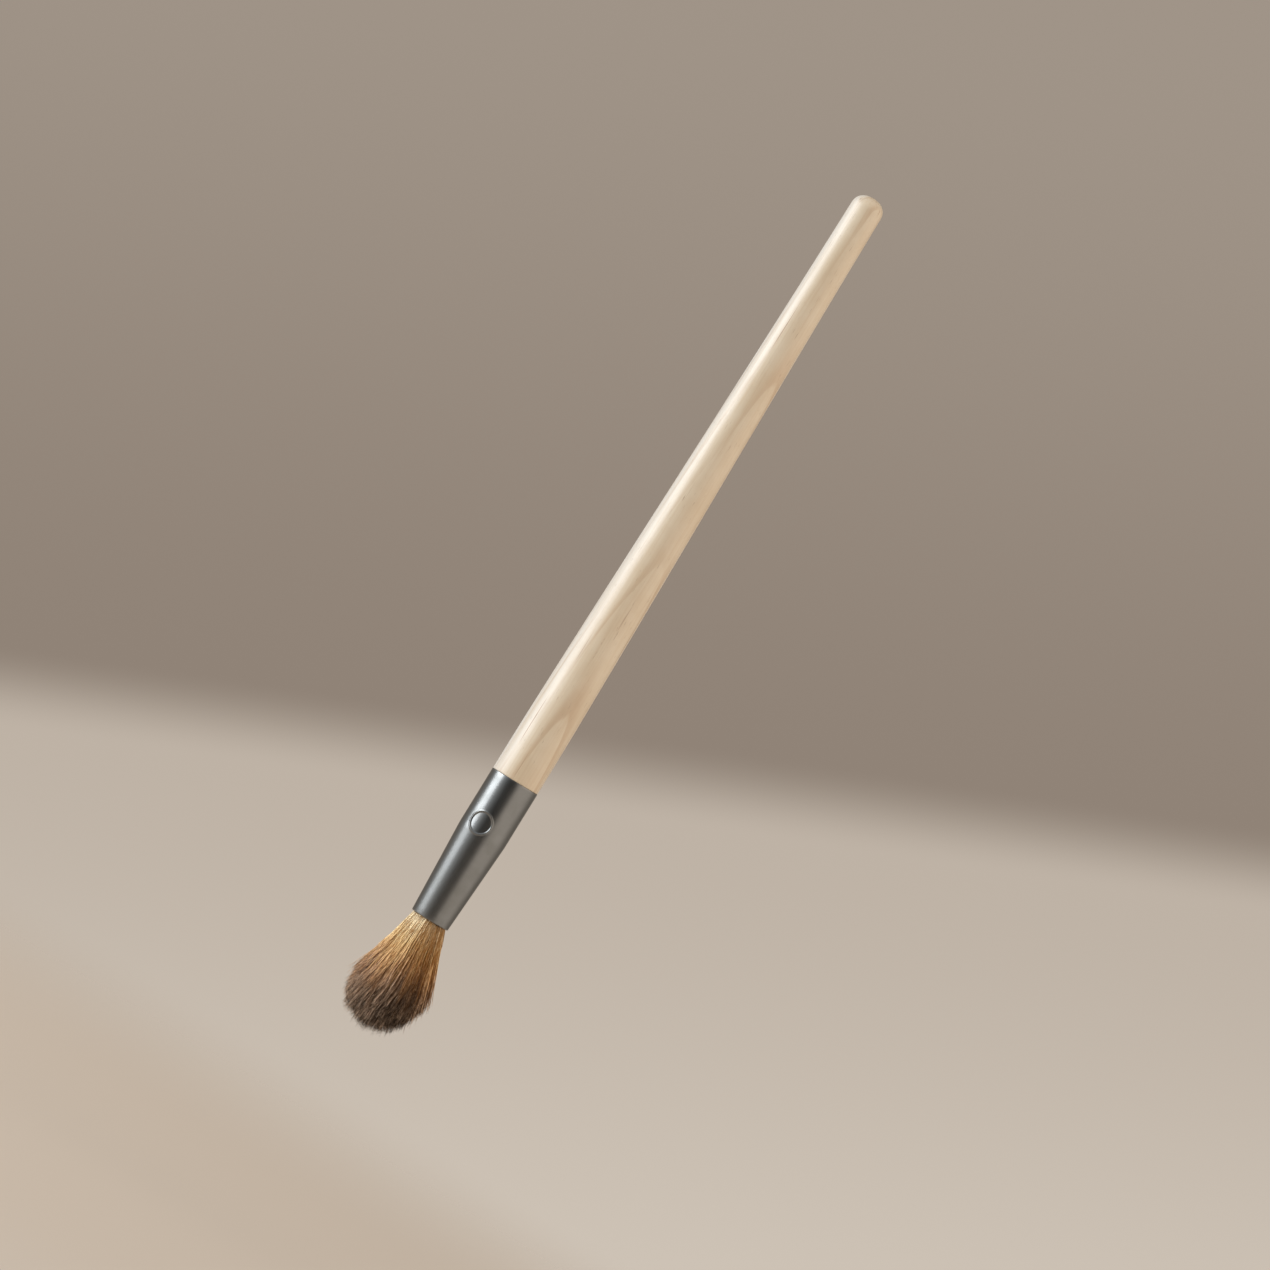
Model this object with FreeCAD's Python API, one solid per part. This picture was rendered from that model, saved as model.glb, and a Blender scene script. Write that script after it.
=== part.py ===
# Eyeshadow blending brush: turned wooden handle, drawn aluminium ferrule and a domed two-tone hair tuft.
# Millimetres. The brush stands along Z with the hair down. Z = 0 is the ferrule's rear rim, on the axis.
import FreeCAD, Part
import math
import os

# Ferrule: a drawn tube, straight at the rear and tapering to the mouth
FERRULE_LENGTH = 26.8
BARREL_LENGTH = 10.4
BARREL_DIAMETER = 8.6
MOUTH_DIAMETER = 6.85
FERRULE_WALL = 0.35
TAPER_BLEND_RADIUS = 12.0

# Plain round stamp pressed into the front of the barrel
STAMP_DIAMETER = 4.2
STAMP_DEPTH = 0.15
STAMP_EDGE_DEPTH = 0.07
STAMP_FROM_RIM = 8.7

# Handle: what shows behind the ferrule, and the tenon inside it
HANDLE_LENGTH = 112.6
HANDLE_END_DIAMETER = 5.6
HANDLE_STEP = 0.04
HANDLE_EDGE_ROUND = 0.15
HANDLE_SWELL = 0.12
HANDLE_SWELL_RUN = 18.0
HANDLE_WAIST = 0.28
HANDLE_WAIST_RUN = 40.0
END_DOME_HEIGHT = 2.4
END_DOME_RUN = 1.6
END_DOME_INSET = 1.2
TENON_SETBACK = 0.9
TENON_CHAMFER = 0.5
GLUE_FILM = 0.1
GLUE_SETBACK = 0.6

# Hair tuft: what shows in front of the ferrule
TUFT_LENGTH = 20.6
TUFT_BELLY_DIAMETER = 13.8
TUFT_BELLY_FROM_MOUTH = 13.2
TUFT_NECK_DIAMETER = 7.4
TUFT_FLARE_RUN = 4.6
TUFT_FLARE_ANGLE = 17.0
TUFT_BELLY_RUN = 2.0
TUFT_TIP_INSET = 0.7

# Bending of the tuft about a point just in front of the mouth
BEND_LIMIT = 35.0
BEND_MARGIN = 2.0
PIVOT_FROM_MOUTH = 1.5
NECK_CLEARANCE = 0.2
ROOT_CLEARANCE = 0.3

# Inside the ferrule: hair roots, the thread that ties them and the resin that holds them
ROOT_SIDE_CLEARANCE = 0.08
TENON_TO_RESIN = 3.0
RESIN_BEHIND_ROOTS = 1.2
RESIN_SETBACK = 1.5
RESIN_COVER = 0.1
THREAD_THICKNESS = 0.3
THREAD_BAND = 2.0
THREAD_FROM_ROOT_END = 1.0

# Heights and radii that follow from the sizes above
mouth_height = -FERRULE_LENGTH
barrel_radius = BARREL_DIAMETER / 2
mouth_radius = MOUTH_DIAMETER / 2
taper_top = -BARREL_LENGTH
taper_length = FERRULE_LENGTH - BARREL_LENGTH
taper_angle = math.atan2(barrel_radius - mouth_radius, taper_length)
bore_radius = barrel_radius - FERRULE_WALL
mouth_bore_radius = mouth_radius - FERRULE_WALL
tenon_radius = bore_radius - GLUE_FILM
tenon_end = -(BARREL_LENGTH - TENON_SETBACK)
pivot_height = mouth_height - PIVOT_FROM_MOUTH
neck_radius = math.hypot(mouth_bore_radius - NECK_CLEARANCE, PIVOT_FROM_MOUTH)
roots_low = pivot_height + neck_radius + ROOT_CLEARANCE
resin_high = tenon_end - TENON_TO_RESIN
roots_high = resin_high - RESIN_BEHIND_ROOTS
resin_low = roots_low + RESIN_SETBACK
thread_high = roots_high - THREAD_FROM_ROOT_END
thread_low = thread_high - THREAD_BAND


def at(radius, height):
    """A point of a turned profile: distance from the axis and height along it."""
    return FreeCAD.Vector(radius, 0, height)


def line(start, end):
    return Part.LineSegment(start, end).toShape()


def arc(start, middle, end):
    return Part.Arc(start, middle, end).toShape()


def curve(*poles):
    """A smooth curve that starts at the first pole, ends at the last and is drawn towards the others."""
    bezier = Part.BezierCurve()
    bezier.setPoles(list(poles))
    return bezier.toShape()


def turned(edges):
    """The solid that a closed profile sweeps in a full turn about the brush's axis."""
    axis_start = FreeCAD.Vector(0, 0, 0)
    axis_direction = FreeCAD.Vector(0, 0, 1)
    solid = Part.Face(Part.Wire(edges)).revolve(axis_start, axis_direction, 360)
    if solid.Volume < 0:
        solid.reverse()
    return solid


def turned_polygon(*points):
    """A turned solid with straight profile edges between the points."""
    closed = list(points) + [points[0]]
    return turned([line(closed[i], closed[i + 1]) for i in range(len(points))])


def bore_radius_at(height):
    """Inside radius of the ferrule at a height, before the taper eases into the barrel."""
    return min(bore_radius, mouth_bore_radius + (height - mouth_height) * math.tan(taper_angle))


def tube_side(inset, bottom_height):
    """Profile edges of the ferrule's outer side, or of its bore, from the mouth up to the rear rim."""
    run = TAPER_BLEND_RADIUS * math.tan(taper_angle / 2)
    barrel = barrel_radius - inset
    half = taper_angle / 2
    bottom_radius = mouth_radius - inset + (bottom_height - mouth_height) * math.tan(taper_angle)
    bottom = at(bottom_radius, bottom_height)
    blend_low = at(barrel - run * math.sin(taper_angle), taper_top - run * math.cos(taper_angle))
    blend_middle = at(
        barrel - TAPER_BLEND_RADIUS * (1 - math.cos(half)),
        taper_top + run - TAPER_BLEND_RADIUS * math.sin(half),
    )
    blend_high = at(barrel, taper_top + run)
    rim = at(barrel, 0)
    return [line(bottom, blend_low), arc(blend_low, blend_middle, blend_high), line(blend_high, rim)]


def end_points(edges):
    """First and last point of a run of edges."""
    return edges[0].valueAt(edges[0].FirstParameter), edges[-1].valueAt(edges[-1].LastParameter)


def make_ferrule():
    """Thin tube with a rounded mouth edge, a square rear rim and the plain round stamp."""
    lip_height = mouth_height + FERRULE_WALL / 2
    outside = tube_side(0, lip_height)
    inside = tube_side(FERRULE_WALL, lip_height)
    outside_low, outside_high = end_points(outside)
    inside_low, inside_high = end_points(inside)
    lip_middle = at(mouth_radius - FERRULE_WALL / 2, mouth_height)
    rim = line(outside_high, inside_high)
    lip = arc(inside_low, lip_middle, outside_low)
    tube = turned(outside + [rim] + inside[::-1] + [lip])
    return tube.cut(make_stamp())


def make_stamp():
    """The shallow dished space that the stamp leaves, round the barrel's curve and deepest in the middle."""
    stamp_radius = STAMP_DIAMETER / 2
    stamp_height = -STAMP_FROM_RIM
    low = stamp_height - stamp_radius
    high = stamp_height + stamp_radius
    edge_radius = barrel_radius - STAMP_EDGE_DEPTH
    outer_radius = BARREL_DIAMETER
    floor = arc(at(edge_radius, high), at(barrel_radius - STAMP_DEPTH, stamp_height), at(edge_radius, low))
    ring = turned([
        line(at(edge_radius, low), at(outer_radius, low)),
        line(at(outer_radius, low), at(outer_radius, high)),
        line(at(outer_radius, high), at(edge_radius, high)),
        floor,
    ])
    centre = FreeCAD.Vector(0, 0, stamp_height)
    towards_front = FreeCAD.Vector(0, -1, 0)
    return Part.makeCylinder(stamp_radius, outer_radius, centre, towards_front).common(ring)


def make_handle():
    """Turned wooden handle: tenon, square shoulder, long hollow taper and a blunt dome."""
    shoulder_radius = barrel_radius - HANDLE_STEP
    end_radius = HANDLE_END_DIAMETER / 2
    side_low = at(shoulder_radius, HANDLE_EDGE_ROUND)
    side_high = at(end_radius, HANDLE_LENGTH - END_DOME_HEIGHT)
    tip = at(0, HANDLE_LENGTH)
    round_centre = at(shoulder_radius - HANDLE_EDGE_ROUND, HANDLE_EDGE_ROUND)
    diagonal = HANDLE_EDGE_ROUND * math.sqrt(0.5)
    edges = [
        line(at(0, tenon_end), at(tenon_radius - TENON_CHAMFER, tenon_end)),
        line(at(tenon_radius - TENON_CHAMFER, tenon_end), at(tenon_radius, tenon_end + TENON_CHAMFER)),
        line(at(tenon_radius, tenon_end + TENON_CHAMFER), at(tenon_radius, 0)),
        line(at(tenon_radius, 0), at(round_centre.x, 0)),
        arc(at(round_centre.x, 0), at(round_centre.x + diagonal, HANDLE_EDGE_ROUND - diagonal), side_low),
        curve(
            side_low,
            at(shoulder_radius + HANDLE_SWELL, HANDLE_SWELL_RUN),
            at(end_radius + HANDLE_WAIST, side_high.z - HANDLE_WAIST_RUN),
            side_high,
        ),
        curve(
            side_high,
            at(end_radius, side_high.z + END_DOME_RUN),
            at(end_radius - END_DOME_INSET, HANDLE_LENGTH),
            tip,
        ),
        line(tip, at(0, tenon_end)),
    ]
    return turned(edges)


def make_tenon_glue():
    """Film of glue between the tenon and the barrel's bore."""
    low = tenon_end + TENON_CHAMFER + GLUE_SETBACK
    high = -GLUE_SETBACK
    return turned_polygon(at(tenon_radius, low), at(bore_radius, low), at(bore_radius, high), at(tenon_radius, high))


def make_hair_roots():
    """The hair inside the ferrule, drawn in a little where the thread ties it."""
    low_radius = bore_radius_at(roots_low) - ROOT_SIDE_CLEARANCE
    tied_radius = tied_roots_radius()
    return turned_polygon(
        at(0, roots_low),
        at(low_radius, roots_low),
        at(tied_radius, thread_low),
        at(tied_radius, roots_high),
        at(0, roots_high),
    )


def tied_roots_radius():
    """Radius of the hair under the thread, which leaves room for the thread and a skin of resin."""
    return bore_radius_at(thread_low) - THREAD_THICKNESS - RESIN_COVER


def make_binding_thread():
    """Band of thread wound round the hair roots."""
    inside = tied_roots_radius()
    outside = inside + THREAD_THICKNESS
    return turned_polygon(
        at(inside, thread_low), at(outside, thread_low), at(outside, thread_high), at(inside, thread_high)
    )


def make_knot_resin(hair_roots, binding_thread):
    """Resin that fills the ferrule round and behind the hair roots."""
    bore_wall = tube_side(FERRULE_WALL, mouth_height)
    bore_low, bore_high = end_points(bore_wall)
    floor = line(at(0, mouth_height), bore_low)
    ceiling = line(bore_high, at(0, 0))
    bore = turned([floor] + bore_wall + [ceiling, line(at(0, 0), at(0, mouth_height))])
    slab = turned_polygon(
        at(0, resin_low), at(BARREL_DIAMETER, resin_low), at(BARREL_DIAMETER, resin_high), at(0, resin_high)
    )
    return bore.common(slab).cut(hair_roots).cut(binding_thread)


def make_hair_tuft():
    """The free hair: a ball that turns in the mouth, a flaring side, a belly and a blunt dome."""
    rim_angle = math.atan2(PIVOT_FROM_MOUTH, mouth_radius)
    flare_start = math.radians(BEND_LIMIT + BEND_MARGIN) - rim_angle
    ball_middle_angle = (math.pi / 2 - flare_start) / 2
    ball_top = at(0, pivot_height + neck_radius)
    ball_middle = at(
        neck_radius * math.cos(ball_middle_angle), pivot_height + neck_radius * math.sin(ball_middle_angle)
    )
    ball_low = at(neck_radius * math.cos(flare_start), pivot_height - neck_radius * math.sin(flare_start))
    collar_radius = TUFT_NECK_DIAMETER / 2
    collar = at(collar_radius, pivot_height - collar_radius * math.tan(flare_start))
    belly_radius = TUFT_BELLY_DIAMETER / 2
    belly = at(belly_radius, mouth_height - TUFT_BELLY_FROM_MOUTH)
    tip = at(0, mouth_height - TUFT_LENGTH)
    flare_out = TUFT_FLARE_RUN * math.tan(math.radians(TUFT_FLARE_ANGLE))
    edges = [
        arc(ball_top, ball_middle, ball_low),
        line(ball_low, collar),
        curve(
            collar,
            at(collar.x + flare_out, collar.z - TUFT_FLARE_RUN),
            at(belly_radius, belly.z + TUFT_BELLY_RUN),
            belly,
        ),
        curve(belly, at(belly_radius, belly.z - TUFT_BELLY_RUN), at(belly_radius - TUFT_TIP_INSET, tip.z), tip),
        line(tip, ball_top),
    ]
    return turned(edges)


def main():
    hair_roots = make_hair_roots()
    binding_thread = make_binding_thread()
    pieces = {
        "handle": make_handle(),
        "ferrule": make_ferrule(),
        "tenon_glue": make_tenon_glue(),
        "knot_resin": make_knot_resin(hair_roots, binding_thread),
        "binding_thread": binding_thread,
        "hair_roots": hair_roots,
        "hair_tuft": make_hair_tuft(),
    }
    os.makedirs("parts", exist_ok=True)
    for name, shape in pieces.items():
        shape.exportStep("parts/" + name + ".step")
        print(name, "solids", len(shape.Solids), "valid", shape.isValid(), "volume", round(shape.Volume, 2))


main()
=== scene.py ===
# %% [markdown]
# # An eyeshadow brush, dressed in Blender
# The brush is three things that show: a turned wooden handle under satin lacquer, a drawn metal ferrule
# and a domed tuft of two-tone hair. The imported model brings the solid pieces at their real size, so this
# lesson only gives them their finish, and grows the hair that a solid can't show.

# %% Load the frame
import math

import bmesh
import bpy
import numpy
from mathutils import Color, Matrix, Vector
from mathutils.geometry import interpolate_bezier
from mathutils.kdtree import KDTree


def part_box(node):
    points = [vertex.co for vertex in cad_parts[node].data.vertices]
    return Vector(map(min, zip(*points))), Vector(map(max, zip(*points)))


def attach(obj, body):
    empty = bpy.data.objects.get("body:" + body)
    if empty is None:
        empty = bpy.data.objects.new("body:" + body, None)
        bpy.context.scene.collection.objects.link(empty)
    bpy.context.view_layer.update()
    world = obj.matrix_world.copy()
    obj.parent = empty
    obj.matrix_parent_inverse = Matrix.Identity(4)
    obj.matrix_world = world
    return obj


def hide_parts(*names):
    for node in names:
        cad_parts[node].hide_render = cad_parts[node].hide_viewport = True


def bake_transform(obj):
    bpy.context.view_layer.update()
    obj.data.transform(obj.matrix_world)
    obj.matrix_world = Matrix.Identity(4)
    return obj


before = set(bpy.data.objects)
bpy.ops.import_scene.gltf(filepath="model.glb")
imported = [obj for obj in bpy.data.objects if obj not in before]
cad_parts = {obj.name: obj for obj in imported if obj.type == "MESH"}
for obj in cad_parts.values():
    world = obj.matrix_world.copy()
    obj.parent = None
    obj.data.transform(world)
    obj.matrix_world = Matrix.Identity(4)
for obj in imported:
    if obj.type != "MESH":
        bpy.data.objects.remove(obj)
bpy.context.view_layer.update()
scene = bpy.context.scene
print("nodes:", ", ".join(sorted(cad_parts)))

# %% [markdown]
# Everything is measured from the frame: the ferrule's box gives the mouth where the hair comes out and
# the rim where the wood goes in, and the hair node's box gives the tip. Sizes are written in millimetres
# because that is how a brush maker would say them, and MM turns them into Blender's metres.

# %% Measure the pieces
MM = 0.001
UP = Vector((0, 0, 1))

ferrule_low, ferrule_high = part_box("ferrule")
mouth_z = ferrule_low[2]
rim_z = ferrule_high[2]
barrel_radius = ferrule_high[0]
tip_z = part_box("hair_tuft")[0][2]
tenon_end_z, handle_end_z = (corner[2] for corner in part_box("handle"))
print("ferrule %.1f mm, hair %.1f mm" % ((rim_z - mouth_z) / MM, (mouth_z - tip_z) / MM))

# %% [markdown]
# The photograph was taken square to the brush with a long lens, and the brush leans to the right of the
# picture. The camera could be turned by Euler angles, but three of them for one lean are hard to read.
# Here the camera's own right, up and back directions are built as vectors, and the lean is a turn of two
# of them about the third.

# %% Camera
PICTURE_PIXELS = 1270
PIXELS_PER_MM = 6.08
LENS_MM = 200.0
SENSOR_MM = 36.0
VIEW_TURN = math.radians(17)
LEAN = math.radians(31.6)
EYE_Z = 13.0 * MM
CENTRE_Z = 30.8 * MM
CENTRE_RIGHT = 4.2 * MM

view_back = Vector((math.sin(VIEW_TURN), -math.cos(VIEW_TURN), 0))
view_right = Vector((math.cos(VIEW_TURN), math.sin(VIEW_TURN), 0))


def aim_matrix(place, target, lean=0.0):
    """Stand at a place and look at a target, with the brush's axis leaning right by an angle."""
    back = (place - target).normalized()
    upright = (UP - UP.dot(back) * back).normalized()
    right = upright.cross(back)
    turned_up = math.cos(lean) * upright - math.sin(lean) * right
    turned_right = math.cos(lean) * right + math.sin(lean) * upright
    axes = Matrix((turned_right, turned_up, back)).transposed()
    return Matrix.Translation(place) @ axes.to_4x4()


distance = LENS_MM / SENSOR_MM * PICTURE_PIXELS / PIXELS_PER_MM * MM
camera_place = view_back * distance + UP * EYE_Z
camera_target = view_right * CENTRE_RIGHT + UP * CENTRE_Z
camera_data = bpy.data.cameras.new("camera")
camera_data.lens = LENS_MM
camera_data.sensor_width = SENSOR_MM
camera_data.clip_start = 0.01
camera = bpy.data.objects.new("camera", camera_data)
camera.matrix_world = aim_matrix(camera_place, camera_target, LEAN)
scene.collection.objects.link(camera)
scene.camera = camera
print("camera at %.0f mm" % (distance / MM))

# %% [markdown]
# Colours are picked as they look on a screen, but a renderer adds up light, so its colours are linear.
# One helper turns one into the other. The others keep the node code short: they add a node and set or
# link its inputs, mix two colours, do a sum, ease between two numbers, measure a place from the axis, or
# start a material.

# %% Colour and node helpers


def screen(red, green, blue):
    """A colour as it looks on a screen, 0 to 255, as the linear colour that a node wants."""
    return (*Color((red / 255, green / 255, blue / 255)).from_srgb_to_scene_linear(), 1.0)


def fill_input(tree, socket, value):
    """Link a socket to another socket, or set its number or colour."""
    if isinstance(value, bpy.types.NodeSocket):
        tree.links.new(value, socket)
    else:
        socket.default_value = value


def add(tree, kind, inputs=None, **options):
    """Add one shader node, set its options, and set or link its inputs by name."""
    made = tree.nodes.new("ShaderNode" + kind)
    for name, value in options.items():
        setattr(made, name, value)
    for name, value in (inputs or {}).items():
        fill_input(tree, made.inputs[name], value)
    return made


def mix(tree, factor, first, second, way="MIX"):
    """Mix two colours and give the result's socket."""
    made = add(tree, "Mix", data_type="RGBA", blend_type=way)
    for index, value in ((0, factor), (6, first), (7, second)):
        fill_input(tree, made.inputs[index], value)
    return made.outputs[2]


def calc(tree, operation, first, second=0.0):
    """One sum on two numbers."""
    made = add(tree, "Math", operation=operation)
    fill_input(tree, made.inputs[0], first)
    fill_input(tree, made.inputs[1], second)
    return made.outputs[0]


def between(tree, value, low, high, to_low=0.0, to_high=1.0):
    """Ease smoothly from one number to another as a value goes from low to high."""
    levels = {"Value": value, "From Min": low, "From Max": high, "To Min": to_low, "To Max": to_high}
    return add(tree, "MapRange", levels, interpolation_type="SMOOTHSTEP").outputs["Result"]


def flattened(tree, place):
    """A place with its height taken away."""
    return add(tree, "VectorMath", {0: place, 1: (1, 1, 0)}, operation="MULTIPLY").outputs["Vector"]


def axis_distance(tree, place):
    """How far a place is from the upright axis."""
    return add(tree, "VectorMath", {0: flattened(tree, place)}, operation="LENGTH").outputs["Value"]


def new_material(name):
    """An empty material and its Principled shader."""
    material = bpy.data.materials.new(name)
    material.use_nodes = True
    return material, material.node_tree, material.node_tree.nodes["Principled BSDF"]


print("helpers ready")

# %% [markdown]
# A pale floor lies a hand's breadth below the ferrule. A hard edge would draw a line across the picture,
# so the floor is a round sheet that turns clear towards its edge, and the world behind it has nearly the
# same colour. It is clear from below too, so that the brush can be looked at from there.

# %% Floor
FLOOR_BELOW_TIP = 40 * MM
FLOOR_RADIUS = 0.6
FLOOR_SOLID = 0.12
FLOOR_CLEAR = 0.5
FLOOR_TONE = screen(220, 209, 197)

floor_mesh = bpy.data.meshes.new("floor")
sheet = bmesh.new()
floor_place = Matrix.Translation((0, 0, tip_z - FLOOR_BELOW_TIP))
bmesh.ops.create_circle(sheet, cap_ends=True, segments=64, radius=FLOOR_RADIUS, matrix=floor_place)
sheet.to_mesh(floor_mesh)
sheet.free()
floor = bpy.data.objects.new("floor", floor_mesh)
scene.collection.objects.link(floor)

floor_paper, tree, shader = new_material("floor_paper")
place = add(tree, "TexCoord").outputs["Object"]
shader.inputs["Base Color"].default_value = FLOOR_TONE
shader.inputs["Roughness"].default_value = 0.9
shader.inputs["Specular IOR Level"].default_value = 0.1
fading = between(tree, axis_distance(tree, place), FLOOR_SOLID, FLOOR_CLEAR, 1.0, 0.0)
from_below = add(tree, "NewGeometry").outputs["Backfacing"]
tree.links.new(calc(tree, "SUBTRACT", fading, from_below), shader.inputs["Alpha"])
floor_mesh.materials.append(floor_paper)
print("floor %.0f mm under the tip" % (FLOOR_BELOW_TIP / MM))

# %% [markdown]
# The studio is a bright beige room with one large soft window to the left. It is dark beside the camera
# and dim behind the brush, and the satin metal shows all of it: a white band, a dark band, a beige band
# and dim edges. The world is that room, built from how far a direction turns to each of its sides.
# Behind the brush is a backdrop, pale below and darker above, so that the pale wood stands out. A camera
# that looks another way sees one plain tone in place of the room.

# %% World
DARK_TURN = math.radians(-6)
DARK_CORE = math.cos(math.radians(11))
DARK_EDGE = math.cos(math.radians(41))
SIDE_SPAN = (-0.5, 0.5)
BACK_SPAN = (-0.75, 0.1)
BACKDROP_SPAN = (-0.98, -0.90)
LOW_SPAN = (-0.10, -0.02)
HIGH_SPAN = (-0.02, 0.10)
LINE_SPAN = (-0.026, -0.014)
BEIGE = (1.06, 0.92, 0.78, 1)
GREY = (0.52, 0.53, 0.53, 1)
DIM = (0.29, 0.25, 0.205, 1)
DARK = (0.02, 0.02, 0.02, 1)
LOW_TONES = (screen(206, 195, 182), screen(190, 178, 165))
HIGH_TONES = (screen(144, 131, 119), screen(160, 148, 136))
PLAIN_TONE = screen(184, 172, 159)
BACKDROP_UP = Vector((0.144, 0.990, 0))

world = bpy.data.worlds.new("studio")
world.use_nodes = True
scene.world = world
tree = world.node_tree
tree.nodes.clear()
direction = add(tree, "TexCoord").outputs["Generated"]
dark_way = Matrix.Rotation(DARK_TURN, 3, "Z") @ view_back
picture_up = camera.matrix_world.to_3x3() @ BACKDROP_UP


def towards(way):
    """How far a direction of the world turns towards one way, from -1 to 1."""
    return add(tree, "VectorMath", {0: direction, 1: way}, operation="DOT_PRODUCT").outputs["Value"]


sides = mix(tree, between(tree, towards(view_right), *SIDE_SPAN), GREY, BEIGE)
dim_back = mix(tree, between(tree, towards(view_back), *BACK_SPAN), DIM, sides)
room = mix(tree, between(tree, towards(dark_way), DARK_EDGE, DARK_CORE), dim_back, DARK)
height = towards(picture_up)
low_tone = mix(tree, between(tree, height, *LOW_SPAN), *LOW_TONES)
high_tone = mix(tree, between(tree, height, *HIGH_SPAN), *HIGH_TONES)
two_tone = mix(tree, between(tree, height, *LINE_SPAN), low_tone, high_tone)
seen = add(tree, "LightPath").outputs["Is Camera Ray"]
elsewhere = mix(tree, seen, room, PLAIN_TONE)
backdrop = mix(tree, between(tree, towards(view_back), *BACKDROP_SPAN), two_tone, elsewhere)
light = add(tree, "Background", {"Color": backdrop, "Strength": 1.0})
add(tree, "OutputWorld", {"Surface": light.outputs["Background"]})
print("world with a dark patch beside the camera")

# %% [markdown]
# The window is one large area lamp, level with the handle and a little nearer the camera than the brush,
# so that its reflection falls on the brush's left side.

# %% Window lamp
WINDOW_LEFT = 0.80
WINDOW_HIGH = 0.17
WINDOW_FRONT = 0.18
WINDOW_WIDTH = 0.56
WINDOW_HEIGHT = 0.50
WINDOW_WATTS = 4.8
WINDOW_COLOUR = (0.97, 0.99, 1.0)


def window_lamp():
    """A soft rectangular lamp at the brush's left."""
    data = bpy.data.lights.new("window", "AREA")
    data.shape = "RECTANGLE"
    data.size = WINDOW_WIDTH
    data.size_y = WINDOW_HEIGHT
    data.energy = WINDOW_WATTS
    data.color = WINDOW_COLOUR
    lamp = bpy.data.objects.new("window", data)
    place = UP * WINDOW_HIGH + view_back * WINDOW_FRONT - view_right * WINDOW_LEFT
    lamp.matrix_world = aim_matrix(place, UP * CENTRE_Z)
    scene.collection.objects.link(lamp)


window_lamp()
print("window %.1f W" % WINDOW_WATTS)

# %% [markdown]
# Lacquer and satin metal are never evenly smooth: cloudy patches and specks break up a highlight. Both
# finishes need that, and so do the hidden glue and resin, so it is one node group with its own scales.
# A group could be drawn by hand in the editor. Here a helper makes its sockets, and the nodes follow.

# %% Cloudy surface group
NOISE_SPAN = (0.3, 0.7)


def new_group(name, inputs, outputs):
    """A node group with named sockets, and what it is given and gives back."""
    group = bpy.data.node_groups.new(name, "ShaderNodeTree")
    for socket, kind in inputs.items():
        group.interface.new_socket(socket, in_out="INPUT", socket_type="NodeSocket" + kind)
    for socket in outputs:
        group.interface.new_socket(socket, in_out="OUTPUT", socket_type="NodeSocketFloat")
    given = group.nodes.new("NodeGroupInput").outputs
    result = group.nodes.new("NodeGroupOutput").inputs
    return group, given, result


def cloudy_group():
    """Soft clouds and fine specks, each from 0 to 1, at a scale given in features per metre."""
    inputs = {"Vector": "Vector", "Cloud Scale": "Float", "Speck Scale": "Float"}
    group, given, result = new_group("cloudy_surface", inputs, ("Clouds", "Specks"))
    for output, scale, detail in (("Clouds", "Cloud Scale", 3.0), ("Specks", "Speck Scale", 1.0)):
        levels = {"Vector": given["Vector"], "Scale": given[scale], "Detail": detail}
        group.links.new(add(group, "TexNoise", levels).outputs["Fac"], result[output])
    return group


cloudy = cloudy_group()


def cloudy_surface(tree, place, cloud_scale, speck_scale):
    """Place the cloudy surface group in a material and give its two outputs."""
    levels = {"Vector": place, "Cloud Scale": cloud_scale, "Speck Scale": speck_scale}
    made = add(tree, "Group", levels, node_tree=cloudy)
    return made.outputs["Clouds"], made.outputs["Specks"]


print("group:", cloudy.name)

# %% [markdown]
# Wood fibres, the drawing lines on metal and packed hair roots have one thing in common: they are noise
# that is drawn out along the brush. So grain is a second group. Its features are counted per metre
# across and along, and many across with few along make long thin streaks.

# %% Drawn-out grain group
GRAIN_ROUGHNESS = 0.6


def grain_group():
    """Noise with its features counted per metre on each axis."""
    inputs = {"Vector": "Vector", "Features": "Vector", "Detail": "Float"}
    group, given, result = new_group("drawn_out_grain", inputs, ("Grain",))
    scaled = add(group, "Mapping", {"Vector": given["Vector"], "Scale": given["Features"]})
    levels = {"Vector": scaled.outputs["Vector"], "Scale": 1.0, "Detail": given["Detail"]}
    noise = add(group, "TexNoise", levels)
    noise.inputs["Roughness"].default_value = GRAIN_ROUGHNESS
    group.links.new(noise.outputs["Fac"], result["Grain"])
    return group


drawn_out = grain_group()


def grain(tree, place, across, along, detail):
    """Place the grain group in a material, with its features per metre, and give its output."""
    levels = {"Vector": place, "Features": (across, across, along), "Detail": detail}
    return add(tree, "Group", levels, node_tree=drawn_out).outputs["Grain"]


print("group:", drawn_out.name)

# %% [markdown]
# The handle is a pale, close-grained wood. A trunk grows in rings about its pith, and the handle is a
# thin stick cut from beside it, so the rings show as long brown lines, and as an arch where the taper
# cuts across one. An image could carry that, but rings about a leaning line give it from every side. The
# side towards the window lamp is painted paler and cooler, a painted highlight along the lit edge.

# %% Wood rings and painted lit side
RING_WIDTH = 1.7 * MM
RING_WANDER = 0.9
WANDER_GRAIN = (130, 14, 2.0)
FADING_GRAIN = (260, 30, 1.0)
PITH_PLACE = view_back * 11.0 * MM + view_right * 5.5 * MM
PITH_LEAN = (math.radians(-2.4), math.radians(-0.5), 0)
LIT_SIDE_WAY = -view_right
PAINTED_LIGHT_SPAN = (0.30, 1.15)


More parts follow.
